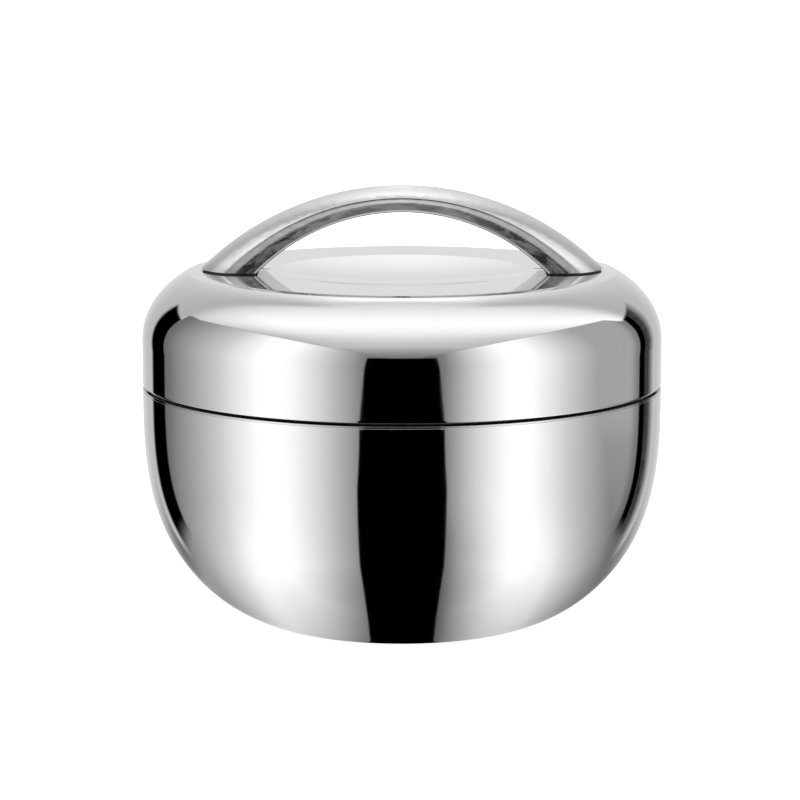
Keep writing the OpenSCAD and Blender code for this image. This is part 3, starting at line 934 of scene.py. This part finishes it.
def arch_sections(handle):
    """Outlines across the arched handle, from one tip to the other."""
    grip_x = handle.tip_x - handle.foot_l
    outer_r = arc_radius(handle.tip_x, handle.crown_z - handle.foot_z)
    inner_r = arc_radius(grip_x, handle.grip_z - handle.foot_z)
    outer_z = handle.crown_z - outer_r
    inner_z = handle.grip_z - inner_r
    foot_mid = handle.tip_x - handle.foot_l / 2
    waist_r = arc_radius(foot_mid, handle.foot_half_w - handle.half_w)
    outer_turn = math.asin(handle.tip_x / outer_r)
    inner_turn = math.asin(grip_x / inner_r)

    def half_width(x):
        """Half the handle's width at a distance along X."""
        reach = min(abs(x), foot_mid)
        return handle.half_w + waist_r - math.sqrt(waist_r**2 - reach**2)

    def crown_drop(y, away):
        """How far the crowned face falls away at y from the middle, nearer to or further from a foot."""
        radius = handle.crown_mid_r + (handle.crown_r - handle.crown_mid_r) * away**2
        return radius - math.sqrt(radius**2 - y**2)

    def section(share):
        """Loop of points across the handle, at a share of its half length."""
        turn, under = share * outer_turn, share * inner_turn
        top = Vector((outer_r * math.sin(turn), outer_z + outer_r * math.cos(turn)))
        bottom = Vector((inner_r * math.sin(under), inner_z + inner_r * math.cos(under)))
        down = (bottom - top).normalized()
        thick = (bottom - top).length
        lean = down.dot(top - Vector((0, outer_z)))
        wide = half_width((top.x + bottom.x) / 2)
        away = abs(share)

        def fall(y):
            """Distance down the section to the crowned face at y from the middle."""
            ring = outer_r - crown_drop(y, away)
            return -lean - math.sqrt(max(lean**2 - outer_r**2 + ring**2, 0))

        face_w = wide - handle.bevel_w
        stretch = max(fall(wide) / crown_drop(wide, away), 1)
        start = fall(face_w) + handle.crease * (1 - 0.6 * away) * stretch
        end = start + handle.bevel_h * (1 + 1.1 * away) * stretch
        lower = max(thick - handle.under_r * stretch, end + 0.2 * MM)
        half = [(face_w * i / CROWN_STEPS, fall(face_w * i / CROWN_STEPS)) for i in range(CROWN_STEPS + 1)]
        half.append((face_w + 0.03 * MM, start))
        for i in range(1, BEVEL_STEPS + 1):
            part = i / BEVEL_STEPS
            half.append((face_w + handle.bevel_w * part**0.9, start + (end - start) * part))
        for i in range(1, SIDE_STEPS + 1):
            half.append((wide, end + (lower - end) * i / SIDE_STEPS))
        for bend in quarter(UNDER_STEPS)[1:]:
            y = wide - handle.under_r * (1 - math.cos(bend))
            half.append((y, lower + (thick - lower) * math.sin(bend)))
        half += [((wide - handle.under_r) * part, thick) for part in (0.75, 0.5, 0.25, 0.0)]
        half += [(-y, depth) for y, depth in half[-2:0:-1]]
        loop = [(top + down * depth, y) for y, depth in half]
        return [(point.x, y, point.y) for point, y in loop]

    return [section(i / ARCH_STEPS) for i in range(-ARCH_STEPS, ARCH_STEPS + 1)]


class HandleOperator(bpy.types.Operator):
    """Arched cast handle: crowned outer face, creased bevel, upright sides and two flat feet"""

    bl_idname = "bowl.handle"
    bl_label = "Handle"

    def execute(self, context):
        _, _, handle, finishes, _ = settings()
        piece = skinned("handle_arch", arch_sections(handle))
        screw_x = screw_place(handle)
        hole_r = handle.thread_r + 0.05 * MM
        hole_top_z = high("handle_screw_left").z + 0.4 * MM
        drilled(piece, (-screw_x, screw_x), hole_r, handle.foot_z - MM, hole_top_z)
        sharpen(piece)
        arch_z = handle.crown_z - arc_radius(handle.tip_x, handle.crown_z - handle.foot_z)
        finish = cast_steel("cast steel", finishes.cast, arch_z, handle.foot_z)
        place_piece(piece, "lid", finish, "handle")
        return {"FINISHED"}


class PadOperator(bpy.types.Operator):
    """Thin dark pads under the handle's feet"""

    bl_idname = "bowl.pads"
    bl_label = "Handle pads"

    def execute(self, context):
        _, _, handle, finishes, _ = settings()
        finish = moulded("pad rubber", finishes.pad, 0.55, 0.75, 0.01 * MM, 1.8)
        screw_x = screw_place(handle)
        for side, name in SIDES:
            node = "handle_pad_" + name
            pad_low, pad_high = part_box(node)
            inner_x, tip_x = sorted((abs(pad_low.x), abs(pad_high.x)))
            half_w = pad_high.y
            bend_r = arc_radius(half_w, handle.pad_tip_l)
            reach = math.asin(half_w / bend_r)
            plan = [(inner_x, -half_w), (inner_x, half_w)]
            for i in range(TIP_STEPS + 1):
                turn = reach * (1 - 2 * i / TIP_STEPS)
                plan.append((tip_x - bend_r + bend_r * math.cos(turn), bend_r * math.sin(turn)))
            sections = [[(side * x, y, z) for x, y in plan] for z in (pad_low.z, pad_high.z)]
            pad = skinned("foot_pad_" + name, sections)
            drilled(pad, (side * screw_x,), handle.thread_r + 0.2 * MM, pad_low.z - MM, pad_high.z + MM)
            sharpen(pad)
            place_piece(pad, "lid", finish, node)
        return {"FINISHED"}


class FastenerOperator(bpy.types.Operator):
    """Threaded screws with a cross recess, their washers and backing plates"""

    bl_idname = "bowl.fasteners"
    bl_label = "Fasteners"

    def execute(self, context):
        _, _, handle, finishes, _ = settings()
        finish = plain_steel("plain steel", finishes.fastener)
        for _, name in SIDES:
            for kind in ("backing_plate_", "handle_washer_"):
                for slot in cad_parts[kind + name].material_slots:
                    slot.material = finish
            node = "handle_screw_" + name
            screw = self.screw("screw_" + name, node, handle)
            place_piece(screw, "lid", finish, node)
        return {"FINISHED"}

    def screw(self, name, node, handle):
        """Pan-head screw with a cut thread, standing on its head."""
        centre_x = middle_x(node)
        head_end, head_z, tip_z = extent(node)
        head_r = head_end - centre_x
        seat_z = low("handle_washer_left").z
        root_r = handle.thread_r - THREAD_DEPTH

        def ring(radius, z, thread=0.0):
            """Loop of points, with a thread that winds round it where one is given."""
            points = []
            for i in range(THREAD_STEPS):
                turn = 2 * math.pi * i / THREAD_STEPS
                wave = abs((z / handle.thread_pitch - i / THREAD_STEPS) % 1 * 2 - 1)
                reach = radius + thread * wave
                points.append((centre_x + reach * math.cos(turn), reach * math.sin(turn), z))
            return points

        rings = [ring(0.3 * MM, head_z)]
        for share in (0.5, 0.8, 0.95, 1.0):
            rings.append(ring(head_r * share, head_z + (seat_z - head_z) * 0.35 * share**4))
        rings += [ring(head_r, seat_z), ring(root_r, seat_z)]
        for i in range(THREAD_ROWS + 1):
            z = seat_z + 0.2 * MM + (tip_z - 0.5 * MM - seat_z) * i / THREAD_ROWS
            grown = min(1, i / 6, (THREAD_ROWS - i) / 6 + 0.2)
            rings.append(ring(root_r, z, THREAD_DEPTH * grown))
        rings.append(ring(root_r * 0.8, tip_z))
        screw = skinned(name, rings)
        for turn in (0, math.pi / 2):
            slot = bmesh.new()
            bmesh.ops.create_cube(slot, size=1)
            size = Matrix.Diagonal((4 * MM, 1 * MM, 2.4 * MM, 1))
            spot = Matrix.Translation((centre_x, 0, head_z))
            slot.transform(spot @ Matrix.Rotation(turn, 4, "Z") @ size)
            cut_away(screw, finish_mesh("recess", slot, False))
        sharpen(screw)
        return screw


# Studio


def add_camera(scene, studio):
    """Camera at the photograph's viewing angle."""
    data = bpy.data.cameras.new("camera")
    data.lens = studio.lens
    data.shift_x = studio.shift_x
    data.clip_start, data.clip_end = 0.01, 100
    camera = bpy.data.objects.new("camera", data)
    camera.location = (
        0, -studio.distance * math.cos(studio.pitch),
        studio.aim_z + studio.distance * math.sin(studio.pitch),
    )
    camera.rotation_euler = (math.pi / 2 - studio.pitch, 0, 0)
    scene.collection.objects.link(camera)
    scene.camera = camera


def add_floor(base):
    """Large pale disc that only the camera and soft light see."""
    mesh = bmesh.new()
    bmesh.ops.create_circle(mesh, cap_ends=True, radius=12, segments=96)
    floor = finish_mesh("floor", mesh, False)
    w = Surface("pale floor")
    paper = w.noise(w.coordinates(), 400.0, 3.0)
    w.set("Specular IOR Level", 0.0)
    w.set("Emission Color", WHITE)
    w.set("Emission Strength", 0.72)
    floor.data.materials.append(w.finished(paper.tint(base, 0.98), paper.blend(0.8, 0.95)))
    floor.visible_glossy = False


def add_overhead(scene, studio):
    """Broad light from above that whitens the floor and isn't mirrored."""
    data = bpy.data.lights.new("overhead", "AREA")
    data.shape = "DISK"
    data.size = 2.4
    data.energy = studio.floor_light
    lamp = bpy.data.objects.new("overhead", data)
    lamp.location = (0, -0.2, 1.8)
    lamp.visible_glossy = False
    scene.collection.objects.link(lamp)


def add_surroundings(scene):
    """What the steel mirrors: two side softboxes, one overhead, dark gaps and a pale backdrop."""
    world = bpy.data.worlds.new("studio")
    scene.world = world
    world.use_nodes = True
    world.node_tree.nodes.clear()
    w = Wiring(world.node_tree)
    direction = w.coordinates("Generated")
    x, y, z = w.split(direction)
    side = abs(x)
    front = y * -1.0
    to_right = x.above(0.0)
    to_left = 1.0 - to_right
    # Degrees round from the front and up from level
    turn = w.math("DEGREES", w.math("ARCTAN2", side, front))
    climb = w.math("DEGREES", w.math("ARCSINE", z))

    # Below a low height the softboxes are drawn as the table mirrors them
    level = w.math("SQRT", x * x + y * y).at_least(0.001)
    spread = z.above(-0.174).blend(1.0, 0.985 / level)

    # Distance from the dark gap in front, counted in half widths of that gap
    gaps = side * spread / (front * spread * 0.155 + 0.165).at_least(0.02)
    beyond = (gaps - 1.0).at_least(0.0)
    gaps_lit = gaps + beyond * to_right * 0.2 - to_right * z.smooth(-0.3, -0.75, 0.0, 0.25)
    fall = w.node("ShaderNodeValToRGB", {0: gaps_lit / LIGHT_REACH})
    fall.color_ramp.interpolation = "B_SPLINE"
    stops = fall.color_ramp.elements
    for i, (place, light) in enumerate(SIDE_LIGHT):
        stop = stops[i] if i < 2 else stops.new(1.0)
        stop.position = place / LIGHT_REACH
        stop.color = shade((light / BRIGHTEST,) * 3)
    side_light = w.named_outputs(fall)["Color"] * BRIGHTEST
    side_light *= to_right.blend(1.0, gaps.straight(1.0, 1.5, 0.84, 1.0))
    right_floor = to_right * turn.smooth(118, 128, 0.56, 0.28) * gaps.smooth(2.5, 3.5)
    right_floor *= z.straight(-0.17, -0.2, 1.0, 0.82) * z.straight(-0.2, -0.43, 1.0, 0.72)
    side_light = side_light.at_least(right_floor)

    # Softbox overhead, brightest a little in front of the zenith, weaker out to the left
    height = z.at_least(0.05)
    ahead = front / height
    aside = (side / height).at_most(3.0)
    off = (ahead + aside * aside * 0.45 - 0.25) / 0.52
    top_light = w.math("EXPONENT", off * off * -1.0) * 0.78 + 0.78
    top_light *= (1.15 / ahead.at_least(1.15)) ** 1.4
    top_light *= 1.0 - to_left * aside.straight(0.75, 1.6, 0.0, 0.45)

    # Backdrop behind the object, darker towards its edges, with a glow half way up
    spot = climb.straight(11, 61) ** 1.5 * climb.smooth(75, 63) * turn.smooth(130, 172)
    middle = w.math("EXPONENT", x * x * -500.0) * climb.smooth(5, 24) * climb.smooth(45, 28)
    backdrop = turn.smooth(142, 178, 0.66, 0.86) + spot * 0.85 + middle * 0.34
    back = z.smooth(0.88, 0.97).blend(backdrop, top_light)
    upper = turn.smooth(122, 136).blend(top_light, back)

    # Side softboxes lie below a slanted upper edge, with a thin gap above it
    bend = to_right.blend(0.03, -0.085) * turn.smooth(117, 126)
    edge = z - (side * 0.817 + front * 0.297 - 0.012 + bend)
    in_box = edge.smooth(0.008, -0.008) * turn.smooth(128.5, 126.5)
    light = in_box.blend(upper, side_light)
    gap_line = abs(edge).smooth(0.0, 0.014, 0.7, 1.0)
    gap_span = turn.smooth(20, 45) * turn.smooth(130, 127)
    light *= gap_span.blend(1.0, gap_line)

    # Table: the side light fans out over it and fades away from the camera
    beyond_bowl = front.straight(-0.85, -0.1, 0.45, 0.8) + front.straight(-0.1, 0.15, 0.0, 0.2)
    near = z.straight(-0.98, -0.78, 0.78, 1.0).at_most(beyond_bowl)
    narrow = gaps.smooth(7.4, 9.0).blend(side.straight(0.15, 0.65, 0.58, 1.0), 1.0)
    outer = z.straight(-0.35, -0.65, 1.0, 1.16) * narrow
    under = side_light * gaps.smooth(3.0, 4.7).blend(near, outer)
    in_table = turn.smooth(140, 150).blend(z.smooth(-0.16, -0.19), z.smooth(-0.2, -0.4))
    light = in_table.blend(light, under)

    # Upright dark gaps beside the backdrop; the right one lightens towards it
    band = turn.smooth(126.5, 128.5) * turn.smooth(149, 148)
    band *= z.smooth(0.375, 0.345) * z.smooth(-0.48, -0.38)
    paler = turn.smooth(137, 149) * to_right
    left_end = turn.smooth(141.5, 145) * to_left
    speckle = w.noise(direction, 40.0, 2.0).smooth(0.35, 0.65, 0.55, 1.2)
    mid_grey = turn.smooth(133, 134.5) * to_right * 0.07
    light = band.blend(light, (paler + left_end) * 0.7 + mid_grey * speckle)

    # Dark gap in front, from above the camera down across the table
    gap_edge = z.straight(-0.172, -0.157, 1.0, 0.895) * z.straight(-0.157, 0.35, 1.0, 0.94)
    gap_edge += z.smooth(-0.16, -0.34) * z.straight(-0.985, -0.8) * 0.058
    ahead_or_low = front.above(0.0).at_least(z.below(-0.2))
    in_gap = (gaps - gap_edge).smooth(0.02, -0.02) * z.smooth(0.366, 0.350) * ahead_or_low
    light = in_gap.blend(light, 0.0)

    mirrored = w.output("ShaderNodeBackground", {"Color": WHITE, "Strength": light})
    plain = w.output("ShaderNodeBackground", {"Color": WHITE, "Strength": 1.0})
    seen = w.output("ShaderNodeLightPath", socket="Is Camera Ray")
    w.node("ShaderNodeOutputWorld", {
        "Surface": w.output("ShaderNodeMixShader", {0: seen, 1: mirrored, 2: plain}),
    })


class StudioOperator(bpy.types.Operator):
    """Camera, pale floor, white background and the lights that the steel mirrors"""

    bl_idname = "bowl.studio"
    bl_label = "Studio"

    def execute(self, context):
        _, _, _, finishes, studio = settings()
        scene = context.scene
        scene.view_settings.view_transform = "Standard"
        scene.view_settings.look = "None"
        add_camera(scene, studio)
        add_floor(finishes.floor)
        add_overhead(scene, studio)
        add_surroundings(scene)
        return {"FINISHED"}


class BOWL_PT_pieces(bpy.types.Panel):
    """Lists the operators in the 3D view's sidebar"""

    bl_idname = "BOWL_PT_pieces"
    bl_label = "Insulated bowl"
    bl_space_type = "VIEW_3D"
    bl_region_type = "UI"
    bl_category = "Bowl"

    def draw(self, context):
        for operator in OPERATORS:
            self.layout.operator(operator.bl_idname)


GROUPS = {
    "bowl_sizes": BowlSizes,
    "lid_sizes": LidSizes,
    "handle_sizes": HandleSizes,
    "bowl_finishes": Finishes,
    "bowl_studio": StudioSettings,
}
OPERATORS = (
    StudioOperator, BowlShellOperator, BowlLinerOperator, BaseOperator, LidShellOperator,
    LidInsideOperator, SealOperator, HandleOperator, PadOperator, FastenerOperator,
)
CLASSES = (*GROUPS.values(), *OPERATORS, BOWL_PT_pieces)


def register():
    for kind in CLASSES:
        bpy.utils.register_class(kind)
    for name, group in GROUPS.items():
        setattr(bpy.types.Scene, name, PointerProperty(type=group))


def unregister():
    for name in GROUPS:
        delattr(bpy.types.Scene, name)
    for kind in reversed(CLASSES):
        bpy.utils.unregister_class(kind)


def main():
    register()
    bpy.ops.bowl.studio()
    bpy.ops.bowl.outer_shell()
    bpy.ops.bowl.inner_liner()
    bpy.ops.bowl.base_pieces()
    bpy.ops.bowl.lid_shell()
    bpy.ops.bowl.lid_inside()
    bpy.ops.bowl.seal()
    bpy.ops.bowl.handle()
    bpy.ops.bowl.pads()
    bpy.ops.bowl.fasteners()


if __name__ == "__main__":
    main()
